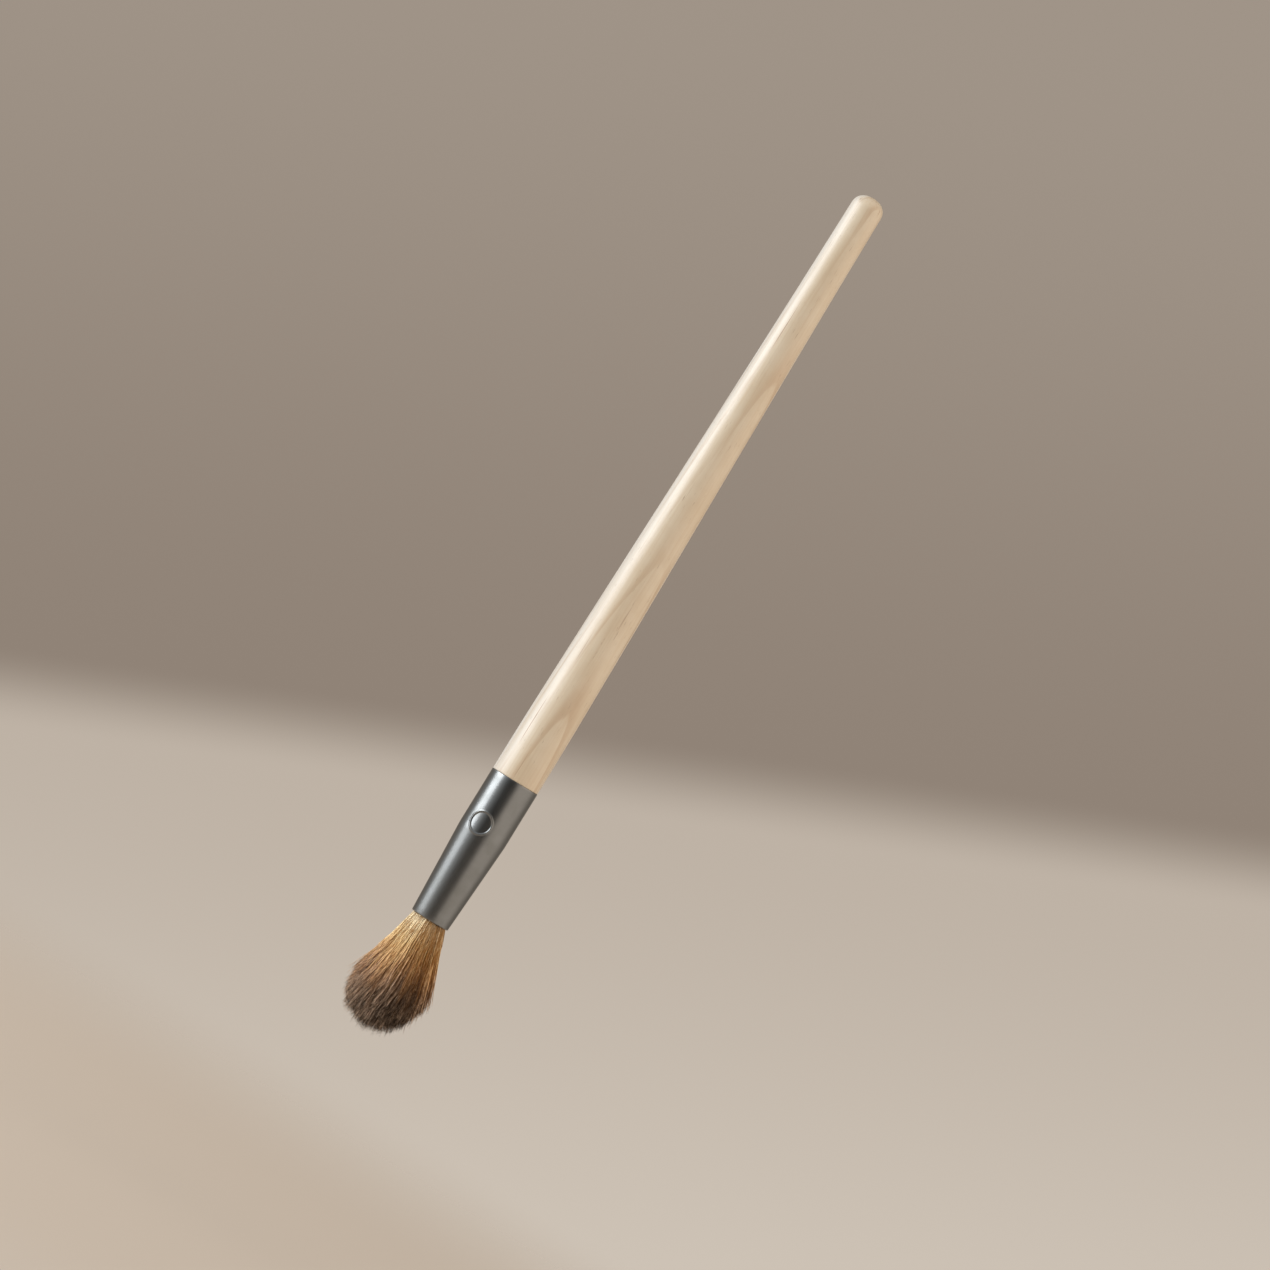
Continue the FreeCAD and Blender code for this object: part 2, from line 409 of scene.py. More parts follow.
def growth_rings(tree, place):
    """Dark late wood, from 0 to 1: slow to darken, quick to end."""
    cut = add(tree, "Mapping", {"Vector": place, "Location": PITH_PLACE, "Rotation": PITH_LEAN})
    count = calc(tree, "DIVIDE", axis_distance(tree, cut.outputs["Vector"]), RING_WIDTH)
    wander = calc(tree, "MULTIPLY", grain(tree, place, *WANDER_GRAIN), RING_WANDER)
    turn = calc(tree, "FRACT", calc(tree, "ADD", count, wander))
    darkening = between(tree, turn, 0.62, 0.95)
    ending = between(tree, turn, 0.96, 1.0, 1.0, 0.0)
    fading = between(tree, grain(tree, place, *FADING_GRAIN), 0.35, 0.65, 0.25, 1.0)
    return calc(tree, "MULTIPLY", calc(tree, "MULTIPLY", darkening, ending), fading)


def painted_window_side(tree, place):
    """How far a point lies on the side towards the window lamp, from 0 to 1, for the painted highlight."""
    outward = add(tree, "VectorMath", {0: flattened(tree, place)}, operation="NORMALIZE")
    ways = {0: outward.outputs["Vector"], 1: LIT_SIDE_WAY}
    side = add(tree, "VectorMath", ways, operation="DOT_PRODUCT").outputs["Value"]
    return between(tree, side, *PAINTED_LIGHT_SPAN)


print("wood rings %.1f mm wide" % (RING_WIDTH / MM))

# %% [markdown]
# The colour is built up as a painter of false grain would do it: pale wood first, then fibres, rings,
# veins and pores, each darker than the last. On the domed end the same grain is cut across and shows as
# dots, as end grain does. The lacquer is the shader's coat, rough enough for a satin highlight.

# %% Lacquered wood
FIBRES = (2600, 50, 4.0)
VEINS = (2100, 38, 1.0)
PORES = (5200, 420, 2.0)
WOOD_CLOUDS = (160.0, 9000.0)
HEART_TONES = (screen(237, 222, 198), screen(230, 212, 185))
PAINTED_LIGHT_TONE = screen(236, 231, 224)
FIBRE_TONE = screen(217, 193, 160)
RING_TONE = screen(188, 149, 105)
VEIN_TONE = screen(160, 116, 70)
PORE_TONE = screen(140, 100, 64)
RING_STRENGTH = 0.38
VEIN_STRENGTH = 0.7
PORE_STRENGTH = 0.45
PORE_DEPTH = 0.8


def wood_finish():
    """Pale wood under satin lacquer."""
    material, tree, shader = new_material("lacquered_wood")
    place = add(tree, "TexCoord").outputs["Object"]
    fibres = grain(tree, place, *FIBRES)
    pores = between(tree, grain(tree, place, *PORES), 0.66, 0.74)
    veins = between(tree, grain(tree, place, *VEINS), 0.70, 0.78)
    rings = growth_rings(tree, place)
    clouds = cloudy_surface(tree, place, *WOOD_CLOUDS)[0]
    heart = mix(tree, between(tree, clouds, *NOISE_SPAN), *HEART_TONES)
    # The side towards the window lamp is painted paler: a painted highlight.
    pale = mix(tree, painted_window_side(tree, place), heart, PAINTED_LIGHT_TONE)
    streaked = mix(tree, between(tree, fibres, 0.42, 0.72, 0.0, 0.4), pale, FIBRE_TONE)
    ringed = mix(tree, calc(tree, "MULTIPLY", rings, RING_STRENGTH), streaked, RING_TONE)
    veined = mix(tree, calc(tree, "MULTIPLY", veins, VEIN_STRENGTH), ringed, VEIN_TONE)
    colour = mix(tree, calc(tree, "MULTIPLY", pores, PORE_STRENGTH), veined, PORE_TONE)
    relief = calc(tree, "SUBTRACT", fibres, calc(tree, "MULTIPLY", pores, PORE_DEPTH))
    bump = add(tree, "Bump", {"Height": relief, "Strength": 0.12, "Distance": 0.05 * MM})
    tree.links.new(colour, shader.inputs["Base Color"])
    tree.links.new(between(tree, clouds, 0.2, 0.8, 0.38, 0.50), shader.inputs["Roughness"])
    tree.links.new(bump.outputs["Normal"], shader.inputs["Normal"])
    shader.inputs["Coat Weight"].default_value = 1.0
    shader.inputs["Coat IOR"].default_value = 1.6
    shader.inputs["Coat Roughness"].default_value = 0.46
    return material


wood = wood_finish()
print("finish:", wood.name)

# %% [markdown]
# The ferrule is drawn from thin aluminium and given a grey satin finish. It is a mirror blurred by fine
# drawing lines, so the metal has no colour detail of its own: its base is one grey with faint clouds,
# and the look comes from what it reflects. The two rims are rubbed brighter where fingers and cloths
# catch.

# %% Satin metal
RIM_WEAR = 0.35 * MM
RIM_STRENGTH = 0.4
DRAW_LINES = (7000, 90, 3.0)
METAL_CLOUDS = (420.0, 14000.0)
METAL_TONES = (screen(132, 134, 135), screen(127, 129, 129))
RUBBED_TONE = screen(180, 181, 181)


def metal_finish():
    """Grey satin metal with faint lines along the draw and rubbed rims."""
    material, tree, shader = new_material("satin_metal")
    place = add(tree, "TexCoord").outputs["Object"]
    lines = grain(tree, place, *DRAW_LINES)
    clouds, specks = cloudy_surface(tree, place, *METAL_CLOUDS)
    height = add(tree, "SeparateXYZ", {"Vector": place}).outputs["Z"]
    front_rim = between(tree, height, mouth_z, mouth_z + RIM_WEAR, 1.0, 0.0)
    rear_rim = between(tree, height, rim_z - RIM_WEAR, rim_z)
    rims = calc(tree, "MAXIMUM", front_rim, rear_rim)
    wear = calc(tree, "MULTIPLY", rims, between(tree, clouds, 0.35, 0.6))
    grey = mix(tree, between(tree, clouds, *NOISE_SPAN), *METAL_TONES)
    colour = mix(tree, calc(tree, "MULTIPLY", wear, RIM_STRENGTH), grey, RUBBED_TONE)
    rough = between(tree, calc(tree, "ADD", lines, clouds), 0.6, 1.4, 0.28, 0.34)
    texture = calc(tree, "ADD", lines, calc(tree, "MULTIPLY", specks, 0.5))
    bump = add(tree, "Bump", {"Height": texture, "Strength": 0.03, "Distance": 0.01 * MM})
    tree.links.new(colour, shader.inputs["Base Color"])
    tree.links.new(rough, shader.inputs["Roughness"])
    tree.links.new(bump.outputs["Normal"], shader.inputs["Normal"])
    shader.inputs["Metallic"].default_value = 1.0
    return material


metal = metal_finish()
print("finish:", metal.name)

# %% [markdown]
# Inside the ferrule the hair is tied with thread, set in resin, and the handle is glued in. None of it
# shows, but a cut-open view would show it, so each gets a plain finish of its own.

# %% Hidden finishes
THREAD_PITCH = 0.22 * MM
THREAD_AND_GROOVE_SHADE_TONES = (screen(150, 138, 118), screen(222, 214, 196))
ROOT_STRANDS = (9000, 120, 2.0)
ROOT_TONES = (screen(158, 120, 74), screen(226, 198, 146))
SET_SPECKS = 9000.0
GLUE_TONES = (screen(232, 222, 190), screen(204, 184, 138))
RESIN_TONES = (screen(206, 158, 84), screen(170, 116, 52))


def set_finish(name, tones, roughness, cloud_scale):
    """Glue or resin that has set: two tones in clouds."""
    material, tree, shader = new_material(name)
    place = add(tree, "TexCoord").outputs["Object"]
    clouds, specks = cloudy_surface(tree, place, cloud_scale, SET_SPECKS)
    tree.links.new(mix(tree, clouds, *tones), shader.inputs["Base Color"])
    bump = add(tree, "Bump", {"Height": specks, "Strength": 0.1, "Distance": 0.02 * MM})
    tree.links.new(bump.outputs["Normal"], shader.inputs["Normal"])
    shader.inputs["Roughness"].default_value = roughness
    return material


def thread_finish():
    """Waxed thread wound side by side round the roots, with painted shade in the grooves between turns."""
    material, tree, shader = new_material("waxed_thread")
    place = add(tree, "TexCoord").outputs["Object"]
    height = add(tree, "SeparateXYZ", {"Vector": place}).outputs["Z"]
    turn = calc(tree, "PINGPONG", calc(tree, "DIVIDE", height, THREAD_PITCH), 0.5)
    # The grooves between turns are painted darker: painted shade.
    tree.links.new(mix(tree, turn, *THREAD_AND_GROOVE_SHADE_TONES), shader.inputs["Base Color"])
    bump = add(tree, "Bump", {"Height": turn, "Strength": 0.6, "Distance": 0.1 * MM})
    tree.links.new(bump.outputs["Normal"], shader.inputs["Normal"])
    shader.inputs["Roughness"].default_value = 0.6
    return material


def roots_finish():
    """The hair inside the ferrule: packed pale hairs, all along the axis."""
    material, tree, shader = new_material("packed_roots")
    place = add(tree, "TexCoord").outputs["Object"]
    strands = grain(tree, place, *ROOT_STRANDS)
    tone = mix(tree, between(tree, strands, 0.35, 0.65), *ROOT_TONES)
    tree.links.new(tone, shader.inputs["Base Color"])
    bump = add(tree, "Bump", {"Height": strands, "Strength": 0.5, "Distance": 0.06 * MM})
    tree.links.new(bump.outputs["Normal"], shader.inputs["Normal"])
    shader.inputs["Roughness"].default_value = 0.5
    return material


hidden_finishes = {
    "tenon_glue": set_finish("wood_glue", GLUE_TONES, 0.35, 600.0),
    "knot_resin": set_finish("knot_resin", RESIN_TONES, 0.2, 400.0),
    "binding_thread": thread_finish(),
    "hair_roots": roots_finish(),
}
for node_name, finish in hidden_finishes.items():
    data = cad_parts[node_name].data
    data.materials.clear()
    data.materials.append(finish)
print("finished nodes:", ", ".join(hidden_finishes))

# %% [markdown]
# Handle and ferrule are both round, and Blender's lathe is spin: half an outline, drawn beside the axis,
# is swept once round it. An outline is a list of radius and height, drawn from straight lines, arcs and
# smooth curves. A lathe could also be the Screw modifier, but spin gives points that can still be moved.

# %% Lathe
SHARP_ANGLE = math.radians(40)
MERGE_DISTANCE = 0.0001 * MM


def smooth_curve(start, pull, other_pull, end, count):
    """Points of radius and height on a smooth curve from a start to an end, drawn towards two points."""
    points = [Vector((radius, 0, height)) for radius, height in (start, pull, other_pull, end)]
    return [(point.x, point.z) for point in interpolate_bezier(*points, count)]


def arc_points(centre, radius, start, end, count):
    """Points on an arc about a centre, between two angles in degrees."""
    angles = [math.radians(start + (end - start) * step / count) for step in range(count + 1)]
    across, up = centre
    return [(across + radius * math.cos(angle), up + radius * math.sin(angle)) for angle in angles]


def spin_outline(outline, start_turn, sectors, closed):
    """Sweep an outline round the axis, sector by sector, and give the bmesh."""
    work = bmesh.new()
    way = Vector((math.cos(start_turn), math.sin(start_turn), 0))
    points = [work.verts.new(way * radius + UP * height) for radius, height in outline]
    ends = points[1:] + points[:1] if closed else points[1:]
    edges = [work.edges.new(pair) for pair in zip(points, ends)]
    last = points + edges
    whole = len(sectors) == 1
    for angle, steps in sectors:
        turned = bmesh.ops.spin(work, geom=last, axis=UP, angle=angle, steps=steps, use_merge=whole)
        last = turned["geom_last"]
    bmesh.ops.remove_doubles(work, verts=work.verts[:], dist=MERGE_DISTANCE)
    bmesh.ops.recalc_face_normals(work, faces=work.faces[:])
    return work


def finish_piece(work, name, finish, node_name):
    """Make a bmesh a piece that rides on the brush and stands for its node."""
    mesh = bpy.data.meshes.new(name)
    work.to_mesh(mesh)
    work.free()
    mesh.shade_smooth()
    mesh.set_sharp_from_angle(angle=SHARP_ANGLE)
    mesh.materials.append(finish)
    piece = bpy.data.objects.new(name, mesh)
    scene.collection.objects.link(piece)
    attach(piece, "brush")
    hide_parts(node_name)
    print(name, len(mesh.polygons), "faces")


print("lathe ready")

# %% [markdown]
# The handle is turned wood: a tenon that goes into the ferrule, a shoulder that meets its rim, a side
# that swells a little and then tapers, and a domed end. Straight parts need few points and the side and
# dome are smooth curves. The same two curves give the solid its shape, so the two agree.

# %% Turned handle
HANDLE_STEPS = 128
SHOULDER_STEPS = 5
SIDE_STEPS = 64
END_STEPS = 20
SHOULDER_INSET = 0.04 * MM
SHOULDER_ROUND = 0.15 * MM
TENON_RADIUS = 3.85 * MM
TENON_CHAMFER = 0.5 * MM
HANDLE_END_RADIUS = 2.8 * MM
HANDLE_SWELL = (0.12 * MM, 18 * MM)
HANDLE_WAIST = (0.28 * MM, 40 * MM)
END_DOME_HEIGHT = 2.4 * MM
END_DOME_RUN = 1.6 * MM
END_DOME_INSET = 1.2 * MM


def handle_outline():
    """From the tenon's end on the axis, out and up to the dome's top on the axis."""
    shoulder = barrel_radius - SHOULDER_INSET
    low, high = tenon_end_z, handle_end_z
    side_low = (shoulder, rim_z + SHOULDER_ROUND)
    side_high = (HANDLE_END_RADIUS, high - END_DOME_HEIGHT)
    swell = (shoulder + HANDLE_SWELL[0], rim_z + HANDLE_SWELL[1])
    waist = (HANDLE_END_RADIUS + HANDLE_WAIST[0], side_high[1] - HANDLE_WAIST[1])
    dome_side = (HANDLE_END_RADIUS, side_high[1] + END_DOME_RUN)
    dome_top = (HANDLE_END_RADIUS - END_DOME_INSET, high)
    round_centre = (shoulder - SHOULDER_ROUND, rim_z + SHOULDER_ROUND)
    tenon = [(0, low), (TENON_RADIUS - TENON_CHAMFER, low)]
    tenon += [(TENON_RADIUS, low + TENON_CHAMFER), (TENON_RADIUS, rim_z)]
    edge = arc_points(round_centre, SHOULDER_ROUND, -90, 0, SHOULDER_STEPS)
    side = smooth_curve(side_low, swell, waist, side_high, SIDE_STEPS)
    dome = smooth_curve(side_high, dome_side, dome_top, (0, high), END_STEPS)
    return tenon + edge + side[1:] + dome[1:]


handle_turn = [(2 * math.pi, HANDLE_STEPS)]
handle_work = spin_outline(handle_outline(), 0, handle_turn, closed=False)
finish_piece(handle_work, "turned_handle", wood, "handle")

# %% [markdown]
# The ferrule is a tube with walls a third of a millimetre thick: straight at the back, tapered to the
# mouth, with a rolled lip where the hair comes out. It is spun from a closed outline, finely at the
# front where the stamp is and coarsely elsewhere. A stamp presses metal down and throws up a thin bead
# round itself, so the fine points there are moved in or out by their distance from the stamp's middle.

# %% Drawn ferrule
WALL = 0.35 * MM
MOUTH_RADIUS = 3.425 * MM
BARREL_LENGTH = 10.4 * MM
TAPER_BLEND = 12 * MM
RIM_ROUND = 0.06 * MM
STAMP_Z = rim_z - 8.7 * MM
STAMP_RADIUS = 2.2 * MM
STAMP_DEPTH = 0.11 * MM
BEAD_HALF_WIDTH = 0.24 * MM
BEAD_HEIGHT = 0.06 * MM
FINE_HALF_TURN = math.radians(38)
FINE_STEP = 0.065 * MM
COARSE_STEPS = 96
LIP_STEPS = 12
RIM_STEPS = 4
TAPER_STEPS = 16
BARREL_STEPS = 6

taper_top = rim_z - BARREL_LENGTH
taper_angle = math.atan2(barrel_radius - MOUTH_RADIUS, taper_top - mouth_z)
blend_top = taper_top + TAPER_BLEND * math.tan(taper_angle / 2)
blend_low = blend_top - TAPER_BLEND * math.sin(taper_angle)


def tube_radius(height):
    """Outside radius of the ferrule: the taper, the arc that eases it, and the barrel."""
    if height > blend_top:
        return barrel_radius
    if height > blend_low:
        fall = blend_top - height
        return barrel_radius - TAPER_BLEND + math.sqrt(TAPER_BLEND ** 2 - fall ** 2)
    return MOUTH_RADIUS + (height - mouth_z) * math.tan(taper_angle)


def spread(low, high, count):
    """Evenly spaced numbers from low to high, without the last."""
    return [low + (high - low) * step / count for step in range(count)]


def ferrule_outline():
    """Round the lip, up the outside, over the rim and down the bore."""
    fine_low = STAMP_Z - STAMP_RADIUS - BEAD_HALF_WIDTH
    fine_high = STAMP_Z + STAMP_RADIUS + BEAD_HALF_WIDTH
    fine_count = round((fine_high - fine_low) / FINE_STEP)
    lip_z = mouth_z + WALL / 2
    rim_low = rim_z - RIM_ROUND
    lip = arc_points((tube_radius(lip_z) - WALL / 2, lip_z), WALL / 2, -180, 0, LIP_STEPS)
    heights = spread(lip_z, fine_low, TAPER_STEPS)[1:] + spread(fine_low, fine_high, fine_count)
    heights += spread(fine_high, rim_low, BARREL_STEPS)
    outside = [(tube_radius(height), height) for height in heights]
    rim = arc_points((barrel_radius - RIM_ROUND, rim_low), RIM_ROUND, 0, 90, RIM_STEPS)
    bore_top = [(barrel_radius - WALL, rim_z)]
    bore = [(tube_radius(height) - WALL, height) for height in (blend_top, taper_top, blend_low)]
    return lip + outside + rim + bore_top + bore


def press_stamp(work):
    """Dish a blank disc into the front of the barrel and raise a bead round it."""
    bead_reach = STAMP_RADIUS - BEAD_HALF_WIDTH
    for vert in work.verts:
        around = barrel_radius * math.atan2(vert.co.x, -vert.co.y)
        reach = math.hypot(around, vert.co.z - STAMP_Z)
        radius = vert.co.xy.length
        if reach > STAMP_RADIUS or radius < tube_radius(vert.co.z) - WALL / 2:
            continue
        across = min(abs(reach - bead_reach) / BEAD_HALF_WIDTH, 1)
        bead = BEAD_HEIGHT * math.cos(across * math.pi / 2) ** 2
        inside = min(max((bead_reach - reach) / BEAD_HALF_WIDTH, 0), 1)
        dish = STAMP_DEPTH * inside ** 2 * (3 - 2 * inside)
        vert.co.xy *= (radius + bead - dish) / radius


fine_steps = round(2 * FINE_HALF_TURN * barrel_radius / FINE_STEP)
coarse_turn = 2 * math.pi - 2 * FINE_HALF_TURN
ferrule_turn = [(2 * FINE_HALF_TURN, fine_steps), (coarse_turn, COARSE_STEPS)]
ferrule_start = -math.pi / 2 - FINE_HALF_TURN
ferrule_work = spin_outline(ferrule_outline(), ferrule_start, ferrule_turn, closed=True)
press_stamp(ferrule_work)
finish_piece(ferrule_work, "drawn_ferrule", metal, "ferrule")

# %% [markdown]
# The tuft is a few thousand hairs that fan out of the mouth and are cut to a dome. Blender has a hair
# system, but its strands aren't a mesh and would be lost in an export, so each hair is a thin curve with
# a bevel, made a mesh at the end. The fan is straight: a hair keeps its share of a radius that grows
# evenly with depth, and ends where it meets the dome, so tips point outwards all over the dome.

# %% Fan and dome
TUFT_LENGTH = mouth_z - tip_z
MOUTH_HAIR_RADIUS = 2.98 * MM
FAN_SLOPE = 0.300
BELLY = (6.75 * MM, 13.2 * MM)
DOME_PULL = (6.6 * MM, 15.6 * MM)
DOME_OTHER_PULL = (5.3 * MM, TUFT_LENGTH)
DOME_STEPS = 60

dome_points = smooth_curve(BELLY, DOME_PULL, DOME_OTHER_PULL, (0, TUFT_LENGTH), DOME_STEPS)
dome_radii, dome_depths = numpy.array(dome_points).T


def fan_radius(depths):
    """Radius of the fan's outside at each depth below the mouth."""
    return MOUTH_HAIR_RADIUS + FAN_SLOPE * numpy.maximum(depths, 0)


dome_shares = dome_radii / fan_radius(dome_depths)


def dome_depth(shares):
    """Depth at which a hair with this share of the fan's radius meets the dome."""
    return numpy.interp(shares, dome_shares[::-1], dome_depths[::-1])


print("tuft %.1f mm across" % (2 * BELLY[0] / MM))

# %% [markdown]
# Hair never stands evenly. A few hairs stick together as a wisp, and wisps lean together as a lock, with
# dark gaps between. Each could be placed by hand, but three sets of evenly spread points do it in one
# go: a hair belongs to the nearest wisp, and a wisp to the nearest lock. A number that varies from hair
# to hair then has a part that the wisp shares and a part that the lock shares.

# %% Wisps and locks
HAIR_COUNT = 9000
WISP_COUNT = 4500
LOCK_COUNT = 90
HAIR_SHIFT = 0.012
WISP_SHIFT = 0.015
LOCK_SHIFT = 0.04
GOLDEN_TURN = math.pi * (3 - math.sqrt(5))
SEED = 7
draw = numpy.random.default_rng(SEED)


def even_disc(count, shift):
    """Points spread over a disc of radius 1, as seeds sit in a sunflower, each moved a little."""
    order = numpy.arange(count)
    reach = numpy.sqrt((order + 0.5) / count)
    angle = order * GOLDEN_TURN
    seeds = numpy.stack((reach * numpy.cos(angle), reach * numpy.sin(angle)), axis=1)
    return seeds + draw.normal(0, shift, (count, 2))


def nearest(points, centres):
    """Index of the nearest centre for each point."""
    finder = KDTree(len(centres))
    for number, (across, deep) in enumerate(centres):
        finder.insert((across, deep, 0), number)
    finder.balance()
    return numpy.array([finder.find((across, deep, 0))[1] for across, deep in points])


roots = even_disc(HAIR_COUNT, HAIR_SHIFT)
wisps = even_disc(WISP_COUNT, WISP_SHIFT)
locks = even_disc(LOCK_COUNT, LOCK_SHIFT)
wisp_of = nearest(roots, wisps)
lock_of = nearest(wisps, locks)[wisp_of]
right_side = roots @ numpy.array(view_right.xy)
right_edge = numpy.maximum(right_side, 0) ** 2


def varied(hair_size, wisp_size, lock_size, shape=()):
    """A random number for each hair, with a part that its wisp shares and one that its lock shares."""
    numbers = draw.normal(0, hair_size, (HAIR_COUNT, *shape))
    numbers += draw.normal(0, wisp_size, (WISP_COUNT, *shape))[wisp_of]
    numbers += draw.normal(0, lock_size, (LOCK_COUNT, *shape))[lock_of]
    return numbers


print("hairs:", HAIR_COUNT, "wisps:", WISP_COUNT, "locks:", LOCK_COUNT)

# %% [markdown]
# Each hair starts at its own even place in the mouth and drifts towards its wisp, and a little towards
# its lock, as it goes down. It leans a little its own way, and it ends a little short of the dome or
# past it, because no trim is quite even.

# %% Hair drift and length
POINTS_PER_HAIR = 13
ROOT_INSIDE = 1.2 * MM
WISP_PULL = 0.85
LOCK_PULL = 0.18
LEAN_SIZES = (0.020, 0.034, 0.016)
LENGTH_SIZES = (0.40 * MM, 0.25 * MM, 0.15 * MM)
SHORTER = 0.35 * MM
LONGEST = 0.9 * MM
along = numpy.linspace(0, 1, POINTS_PER_HAIR)[None, :]


def hair_shares():
    """Where each hair's points lie across the fan, as shares of its radius."""
    to_wisp = (wisps[wisp_of] - roots)[:, None, :] * (WISP_PULL * along ** 0.7)[:, :, None]
    to_lock = (locks[lock_of] - wisps[wisp_of])[:, None, :] * (LOCK_PULL * along ** 2)[:, :, None]
    lean = varied(*LEAN_SIZES, (2,))[:, None, :] * (along ** 1.4)[:, :, None]
    return roots[:, None, :] + to_wisp + to_lock + lean


def hair_depths(shares):
    """How far below the mouth each hair's points lie: from inside the ferrule to near the dome."""
    tip_share = numpy.minimum(numpy.linalg.norm(shares[:, -1], axis=1), 1.0)
    longer = varied(*LENGTH_SIZES) - SHORTER
    ends = dome_depth(tip_share) + numpy.minimum(longer, LONGEST)
    return -ROOT_INSIDE + (ends[:, None] + ROOT_INSIDE) * along


shares = hair_shares()
depths = hair_depths(shares)
print("longest hair %.1f mm" % (depths.max() / MM))

# %% [markdown]
# Straight lines would look like wire, so each hair and each wisp has a wave of its own. A few hairs
# stray outwards, more of them on the right, where the tuft is a little slimmer. The whole tuft sways to
# one side, because a brush of real hair is never quite straight.

# %% Hair paths
RIGHT_SLIMMER = 0.045
STRAY_SHARE = 0.05
STRAY_SIDE = 0.12
STRAY_REACH = (0.02, 0.16)
HAIR_WAVE = 0.07 * MM
WISP_WAVE = 0.08 * MM
WAVE_LENGTHS = (3.5 * MM, 8 * MM)
WAVE_SIZES = (0.3, 1.3)
SWAY_DEPTHS = (0, 8 * MM, 12 * MM, 17 * MM)
SWAY = (0, 0.42 * MM, 0.42 * MM, -0.1 * MM)


def waves(count, height, depths, owner):
    """Sideways waves along each hair, shared by the hairs of one owner."""
    length = draw.uniform(*WAVE_LENGTHS, (count, 1, 2))
    phase = draw.uniform(0, 2 * math.pi, (count, 1, 2))
    size = height * draw.uniform(*WAVE_SIZES, (count, 1, 2))
    swing = numpy.sin(2 * math.pi * depths[:, :, None] / length[owner] + phase[owner])
    return size[owner] * swing


def hair_strays():
    """How much further out than its neighbours each hair ends. Most stay in line."""
    straying = draw.random(HAIR_COUNT) < STRAY_SHARE + STRAY_SIDE * right_edge
    return numpy.where(straying, draw.uniform(*STRAY_REACH, HAIR_COUNT), 0.0)


def hair_paths(shares, depths, stray):
    """Paths of all hairs, as (hair, point, xyz)."""
    outward = stray - RIGHT_SLIMMER * right_edge
    flat = shares * (fan_radius(depths) * (1 + outward[:, None] * along ** 2))[:, :, None]
    wave = waves(HAIR_COUNT, HAIR_WAVE, depths, numpy.arange(HAIR_COUNT))
    wave += waves(WISP_COUNT, WISP_WAVE, depths, wisp_of)
    flat += wave * (along ** 0.6)[:, :, None]
    flat += numpy.interp(depths, SWAY_DEPTHS, SWAY)[:, :, None] * numpy.array(view_right.xy)
    return numpy.concatenate((flat, (mouth_z - depths)[:, :, None]), axis=2)


stray = hair_strays()
paths = hair_paths(shares, depths, stray)
print("paths:", len(paths), "points each:", POINTS_PER_HAIR)

# %% [markdown]
# Animal hair is a mix: most hairs are dark and some are pale, and pale ones lie together. Each wisp is
# drawn as pale or dark, pale more often near the outside and, as painted light, on the left where the
# window shines. Every tone is also painted lighter on the left and darker on the right, as painted light
# and painted shade. Each hair has its own tone about that. Strays at the right edge are pale too, and pale
# hairs are a little thicker.

# %% Hair tones
LIGHT_SHARE = 0.31
PAINTED_SIDE_PALE_SHARE = 0.54
PALE_STRAYS = 0.7
LIGHT_TONE = (0.93, 0.08)
DARK_TONE = (0.19, 0.10)
WISP_TONE = 0.15
PAINTED_SIDE_LIGHT_AND_SHADE = 0.24
PLACE_SIZES = (0.05, 0.05, 0.04)
THICKNESS = (0.6, 1.3)
LIGHT_THICKER = 0.35
TONE_LIMITS = (0.02, 0.98)
PLACE_LIMITS = (0.01, 0.99)


def hair_tones():
    """Each hair's tone, from dark at 0 to pale at 1, and its thickness."""
    # Pale wisps are drawn more often on the left, where the window lamp shines: painted light.
    light_share = (LIGHT_SHARE - PAINTED_SIDE_PALE_SHARE * right_side) * numpy.linalg.norm(roots, axis=1)
    light = draw.random(WISP_COUNT)[wisp_of] < light_share
    light |= (stray > 0) & (right_side > PALE_STRAYS)
    light_tones = draw.normal(*LIGHT_TONE, HAIR_COUNT)
    dark_tones = draw.normal(*DARK_TONE, HAIR_COUNT)
    # Every tone is raised on the left and lowered on the right: painted light and painted shade.
    tones = numpy.where(light, light_tones, dark_tones) - PAINTED_SIDE_LIGHT_AND_SHADE * right_side
    tones += draw.normal(0, WISP_TONE, WISP_COUNT)[wisp_of]
    thickness = draw.uniform(*THICKNESS, HAIR_COUNT) + LIGHT_THICKER * light
    return numpy.clip(tones, *TONE_LIMITS), thickness


places = numpy.clip(depths / TUFT_LENGTH + varied(*PLACE_SIZES)[:, None] * along, *PLACE_LIMITS)
tones, thickness = hair_tones()
print("pale hairs: %d" % (tones > 0.5).sum())

# %% [markdown]
# The hair is pale gold at the root and nearly black at the tip. Its colour depends on two things: how
# far down a point is, and the hair's own tone. Both are written in a UV map, with a sliver of width
# round each hair, so the same material works in a render and in a baked texture. Noise on that map
# breaks a hair's tone into short painted glints: stretches painted lighter or darker along each hair.

# %% Hair colour
HAIR_MAP = "OFBake"
PAINTED_GLINT_SCALE = (26, 90, 1)
PAINTED_GLINT_RANGE = (-0.50, 0.32)
HAIR_SHINE = screen(255, 222, 188)
LIGHT_HAIR = (
    (0.00, (254, 242, 210)), (0.22, (252, 222, 166)), (0.40, (246, 206, 152)),
    (0.56, (224, 182, 144)), (0.74, (228, 198, 172)), (1.00, (220, 194, 172)),
)
DARK_HAIR = (
    (0.00, (178, 136, 84)), (0.22, (174, 122, 62)), (0.40, (156, 104, 53)),
    (0.56, (92, 58, 30)), (0.74, (27, 16, 10)), (1.00, (8, 5, 3)),
)


def ramp(tree, factor, stops):
    """A colour ramp from pairs of place and screen colour."""
    made = add(tree, "ValToRGB", {"Fac": factor})
    elements = made.color_ramp.elements
    while len(elements) < len(stops):
        elements.new(1.0)
    for element, (place, colour) in zip(elements, stops):
        element.position = place
        element.color = screen(*colour)
    return made.outputs["Color"]


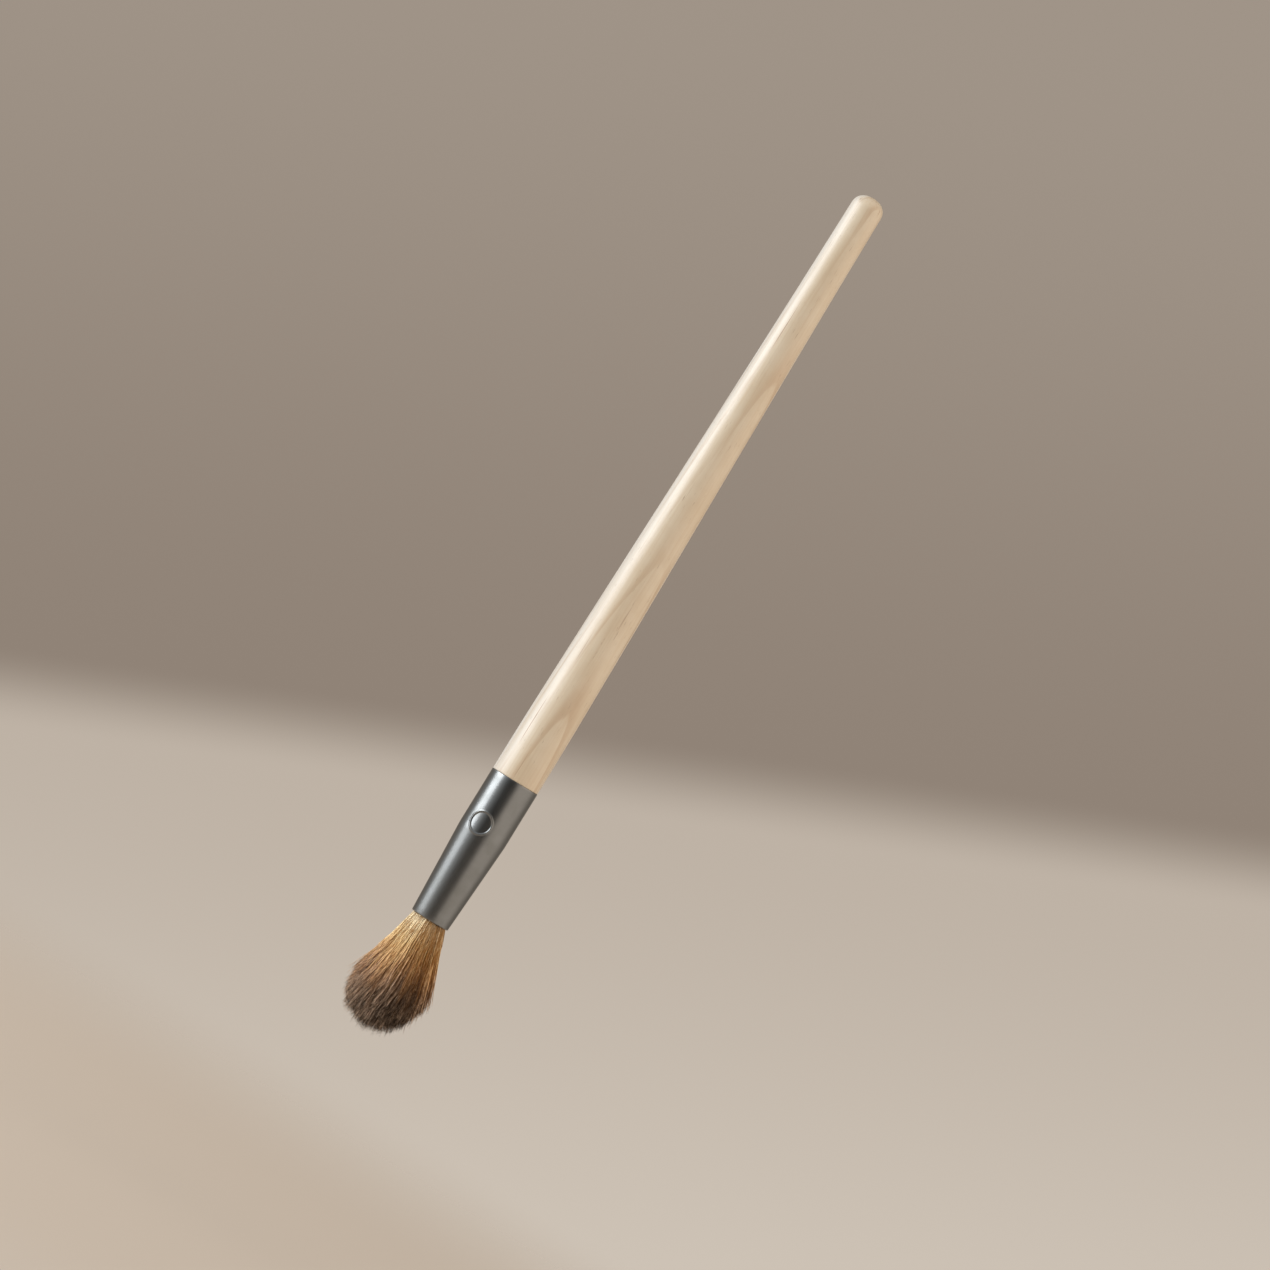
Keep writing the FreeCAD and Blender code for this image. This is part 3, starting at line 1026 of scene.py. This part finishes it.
def hair_finish():
    """Two-tone hair, coloured from its own map: along the hair, and by the hair's tone."""
    material, tree, shader = new_material("two_tone_hair")
    own_map = add(tree, "UVMap", uv_map=HAIR_MAP).outputs["UV"]
    parts = add(tree, "SeparateXYZ", {"Vector": own_map}).outputs
    light = ramp(tree, parts["X"], LIGHT_HAIR)
    dark = ramp(tree, parts["X"], DARK_HAIR)
    scaled = add(tree, "Mapping", {"Vector": own_map, "Scale": PAINTED_GLINT_SCALE}).outputs["Vector"]
    levels = {"Vector": scaled, "Scale": 1.0, "Detail": 1.0}
    noise = add(tree, "TexNoise", levels, noise_dimensions="2D")
    # Short glints painted into the colour along each hair: painted highlights and darker stretches.
    painted_glint = between(tree, noise.outputs["Fac"], *NOISE_SPAN, *PAINTED_GLINT_RANGE)
    tone = calc(tree, "ADD", parts["Y"], painted_glint)
    tree.links.new(mix(tree, tone, dark, light), shader.inputs["Base Color"])
    shader.inputs["Roughness"].default_value = 0.30
    shader.inputs["Specular IOR Level"].default_value = 0.60
    shader.inputs["Specular Tint"].default_value = HAIR_SHINE
    shader.inputs["Metallic"].default_value = 0.2
    return material


hair = hair_finish()
print("hair colours:", len(LIGHT_HAIR), "stops in two tones")

# %% [markdown]
# Thousands of curves in one object would pass the size that a mesh file should have, so the hairs are
# dealt into a few pieces that lie through each other. Each point's radius tapers the hair to its tip.

# %% Grow the hair
HAIR_RADIUS = 0.045 * MM
SIDES = 4
TUFT_PIECES = 5
TONE_WIDTH = 0.006
TAPER_PLACES = (0, 0.15, 0.6, 0.9, 1)
TAPER_SIZES = (0.7, 1, 1, 0.7, 0.15)
TAPER = numpy.interp(along[0], TAPER_PLACES, TAPER_SIZES)


def hair_curves(name, chosen):
    """One curve object with a tapered spline for each chosen hair."""
    data = bpy.data.curves.new(name, "CURVE")
    data.dimensions = "3D"
    data.bevel_depth = HAIR_RADIUS
    data.bevel_resolution = 0
    for number in chosen:
        spline = data.splines.new("POLY")
        spline.points.add(POINTS_PER_HAIR - 1)
        spline.points.foreach_set("co", numpy.insert(paths[number], 3, 1.0, axis=1).ravel())
        spline.points.foreach_set("radius", TAPER * thickness[number])
    return bpy.data.objects.new(name, data)


def write_map(mesh, chosen):
    """Give each corner its depth along the tuft and its hair's tone, with a little width."""
    across = numpy.where(numpy.arange(SIDES) < SIDES / 2, -TONE_WIDTH, TONE_WIDTH)
    shape = (len(chosen), POINTS_PER_HAIR, SIDES)
    u = numpy.broadcast_to(places[chosen][:, :, None], shape).ravel()
    v = numpy.broadcast_to(tones[chosen][:, None, None] + across[None, None, :], shape).ravel()
    corners = numpy.empty(len(mesh.loops), dtype=numpy.int32)
    mesh.loops.foreach_get("vertex_index", corners)
    while mesh.uv_layers:
        mesh.uv_layers.remove(mesh.uv_layers[0])
    layer = mesh.uv_layers.new(name=HAIR_MAP)
    layer.uv.foreach_set("vector", numpy.stack((u, v), axis=1)[corners].astype(numpy.float32).ravel())


def grow(name, chosen):
    """Make the chosen hairs one mesh."""
    curves = hair_curves(name, chosen)
    scene.collection.objects.link(curves)
    graph = bpy.context.evaluated_depsgraph_get()
    mesh = bpy.data.meshes.new_from_object(curves.evaluated_get(graph))
    bpy.data.objects.remove(curves)
    write_map(mesh, chosen)
    mesh.shade_smooth()
    mesh.materials.clear()
    mesh.materials.append(hair)
    piece = bpy.data.objects.new(name, mesh)
    scene.collection.objects.link(piece)
    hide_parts("hair_tuft")
    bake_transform(piece)
    return piece


for number in range(TUFT_PIECES):
    tuft = grow("tuft_hair_%d" % (number + 1), numpy.arange(number, HAIR_COUNT, TUFT_PIECES))
    print(tuft.name, len(tuft.data.polygons), "faces")

# %% [markdown]
# The last step sets the view transform to Standard.

# %% Finish
scene.view_settings.view_transform = "Standard"
